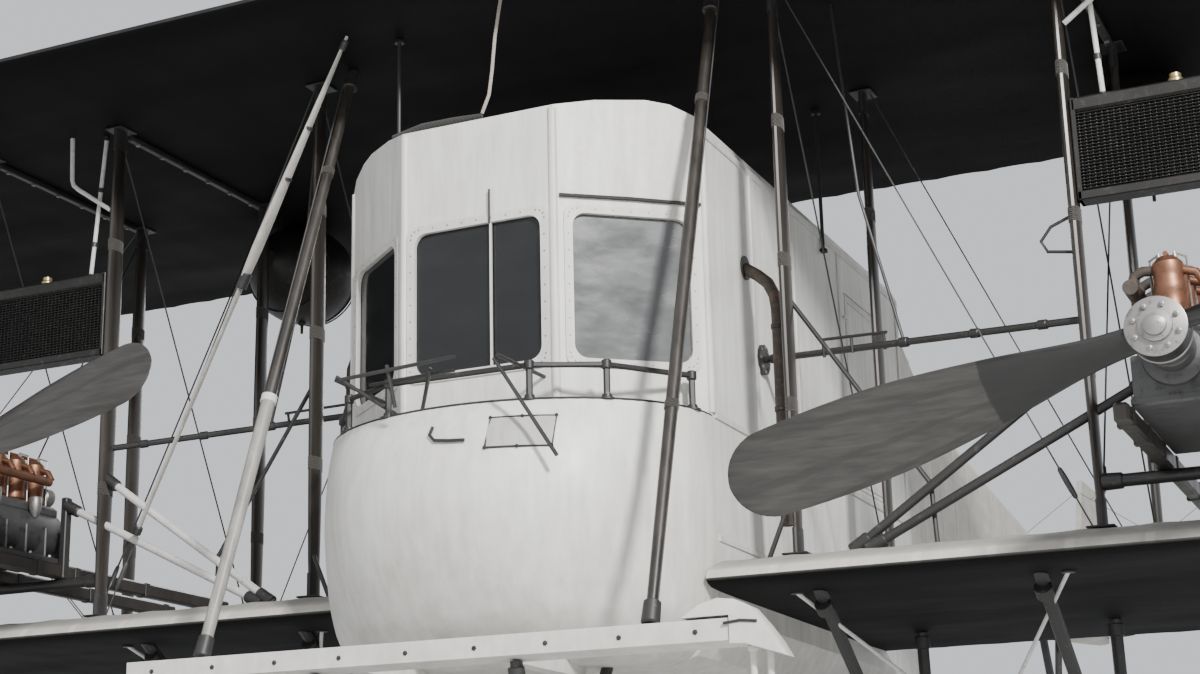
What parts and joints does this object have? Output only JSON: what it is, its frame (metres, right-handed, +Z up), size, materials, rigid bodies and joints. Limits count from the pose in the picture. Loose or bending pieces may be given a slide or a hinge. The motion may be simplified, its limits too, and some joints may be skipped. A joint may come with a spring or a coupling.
{
  "type": "giant biplane with a deep cabin nose and four engines on the lower wing",
  "caption": "Giant early biplane on wheels: deep pale nose with bow tub and windscreen, dark upper wing high on struts, four engines in strut bays, long tapering tail.",
  "frame": {"origin": "on the ground under the middle of the whole length and span, wheels standing on Z = 0", "axes": "+X to the aircraft's port side along the span, +Y aft along the fuselage (the nose points to -Y), +Z up"},
  "size_m": [34, 18.8, 5.5918],
  "materials": {
    "nose_ply": "satin",
    "inner_ply": "matte",
    "dark_fabric": "matte",
    "pale_fabric": "matte",
    "strut_wood": "satin",
    "prop_wood": "satin",
    "frame_steel": "satin",
    "engine_iron": "matte",
    "wheel_rubber": "matte",
    "pane_grey": "gloss",
    "pane_dark": "gloss"
  },
  "bodies": {
    "airframe": {"bow_deck": "nose_ply", "bow_rail": "frame_steel", "bow_tub": "nose_ply", "cabin_bulkhead": "inner_ply", "cabin_floor": "inner_ply", "cabin_shell": "nose_ply", "control_tube_port": "frame_steel", "control_tube_starboard": "frame_steel", "exhaust_pipe_port": "frame_steel", "exhaust_pipe_starboard": "frame_steel", "fin_centre": "pale_fabric", "fin_port": "pale_fabric", "fin_starboard": "pale_fabric", "inner_engine_bay_port": "strut_wood", "inner_engine_bay_starboard": "strut_wood", "inner_engine_port": "engine_iron", "inner_engine_starboard": "engine_iron", "inner_struts_port": "strut_wood", "inner_struts_starboard": "strut_wood", "lower_hull": "nose_ply", "lower_wing_port": "pale_fabric", "lower_wing_starboard": "pale_fabric", "main_gear_port": "frame_steel", "main_gear_starboard": "frame_steel", "mid_fuselage": "pale_fabric", "nose_beam": "nose_ply", "nose_gear_frame": "frame_steel", "nose_pole_port": "strut_wood", "nose_pole_starboard": "strut_wood", "outer_engine_bay_port": "strut_wood", "outer_engine_bay_starboard": "strut_wood", "outer_engine_port": "engine_iron", "outer_engine_starboard": "engine_iron", "outer_struts_port": "strut_wood", "outer_struts_starboard": "strut_wood", "quarter_pane_port": "pane_grey", "quarter_pane_starboard": "pane_dark", "rear_fuselage": "pale_fabric", "tail_skid": "frame_steel", "tailplane": "pale_fabric", "upper_wing_centre": "dark_fabric", "upper_wing_port": "dark_fabric", "upper_wing_starboard": "dark_fabric", "windscreen_pane": "pane_dark"},
    "inner_propeller_port": {"inner_propeller_port": "prop_wood"},
    "inner_propeller_starboard": {"inner_propeller_starboard": "prop_wood"},
    "outer_propeller_port": {"outer_propeller_port": "prop_wood"},
    "outer_propeller_starboard": {"outer_propeller_starboard": "prop_wood"},
    "nose_wheels": {"nose_wheels": "wheel_rubber"},
    "main_wheels_port": {"main_wheels_port": "wheel_rubber"},
    "main_wheels_starboard": {"main_wheels_starboard": "wheel_rubber"},
    "cabin_door": {"cabin_door": "nose_ply"},
    "aileron_port": {"aileron_port": "dark_fabric"},
    "aileron_starboard": {"aileron_starboard": "dark_fabric"},
    "elevator": {"elevator": "pale_fabric"},
    "rudder_port": {"rudder_port": "pale_fabric"},
    "rudder_centre": {"rudder_centre": "pale_fabric"},
    "rudder_starboard": {"rudder_starboard": "pale_fabric"}
  },
  "joints": [
    {"name": "inner_propeller_port_spin", "type": "hinge", "parent": "airframe", "child": "inner_propeller_port", "pos_m": [3.61, -9.218, 2.7], "axis": [0, -1, 0], "continuous": true},
    {"name": "inner_propeller_starboard_spin", "type": "hinge", "parent": "airframe", "child": "inner_propeller_starboard", "pos_m": [-3.61, -9.218, 2.7], "axis": [0, -1, 0], "continuous": true},
    {"name": "outer_propeller_port_spin", "type": "hinge", "parent": "airframe", "child": "outer_propeller_port", "pos_m": [8, -9.218, 2.7], "axis": [0, -1, 0], "continuous": true},
    {"name": "outer_propeller_starboard_spin", "type": "hinge", "parent": "airframe", "child": "outer_propeller_starboard", "pos_m": [-8, -9.218, 2.7], "axis": [0, -1, 0], "continuous": true},
    {"name": "nose_wheels_roll", "type": "hinge", "parent": "airframe", "child": "nose_wheels", "pos_m": [0, -8.98, 0.42], "axis": [1, 0, 0], "continuous": true},
    {"name": "main_wheels_port_roll", "type": "hinge", "parent": "airframe", "child": "main_wheels_port", "pos_m": [2.15, -5.71, 0.56], "axis": [1, 0, 0], "continuous": true},
    {"name": "main_wheels_starboard_roll", "type": "hinge", "parent": "airframe", "child": "main_wheels_starboard", "pos_m": [-2.15, -5.71, 0.56], "axis": [1, 0, 0], "continuous": true},
    {"name": "cabin_door_hinge", "type": "hinge", "parent": "airframe", "child": "cabin_door", "pos_m": [1.118, -5.502, 3.58], "axis": [0, 0, 1], "range_deg": [-100, 0]},
    {"name": "aileron_port_hinge", "type": "hinge", "parent": "airframe", "child": "aileron_port", "pos_m": [14.2, -5.11, 5.392], "axis": [1, 0, 0], "range_deg": [-20, 20]},
    {"name": "aileron_starboard_hinge", "type": "hinge", "parent": "airframe", "child": "aileron_starboard", "pos_m": [-14.2, -5.11, 5.392], "axis": [1, 0, 0], "range_deg": [-20, 20]},
    {"name": "elevator_hinge", "type": "hinge", "parent": "airframe", "child": "elevator", "pos_m": [0, 8.58, 3.9423], "axis": [1, 0, 0], "range_deg": [-25, 25]},
    {"name": "rudder_port_hinge", "type": "hinge", "parent": "airframe", "child": "rudder_port", "pos_m": [1.9, 8.58, 4.95], "axis": [0, 0, 1], "range_deg": [-25, 25]},
    {"name": "rudder_centre_hinge", "type": "hinge", "parent": "airframe", "child": "rudder_centre", "pos_m": [0, 8.58, 4.95], "axis": [0, 0, 1], "range_deg": [-25, 25]},
    {"name": "rudder_starboard_hinge", "type": "hinge", "parent": "airframe", "child": "rudder_starboard", "pos_m": [-1.9, 8.58, 4.95], "axis": [0, 0, 1], "range_deg": [-25, 25]}
  ],
  "couplings": [
    {"joint": "aileron_starboard_hinge", "follows": "aileron_port_hinge", "ratio": -1},
    {"joint": "rudder_starboard_hinge", "follows": "rudder_port_hinge", "ratio": 1},
    {"joint": "rudder_centre_hinge", "follows": "rudder_port_hinge", "ratio": 1}
  ]
}
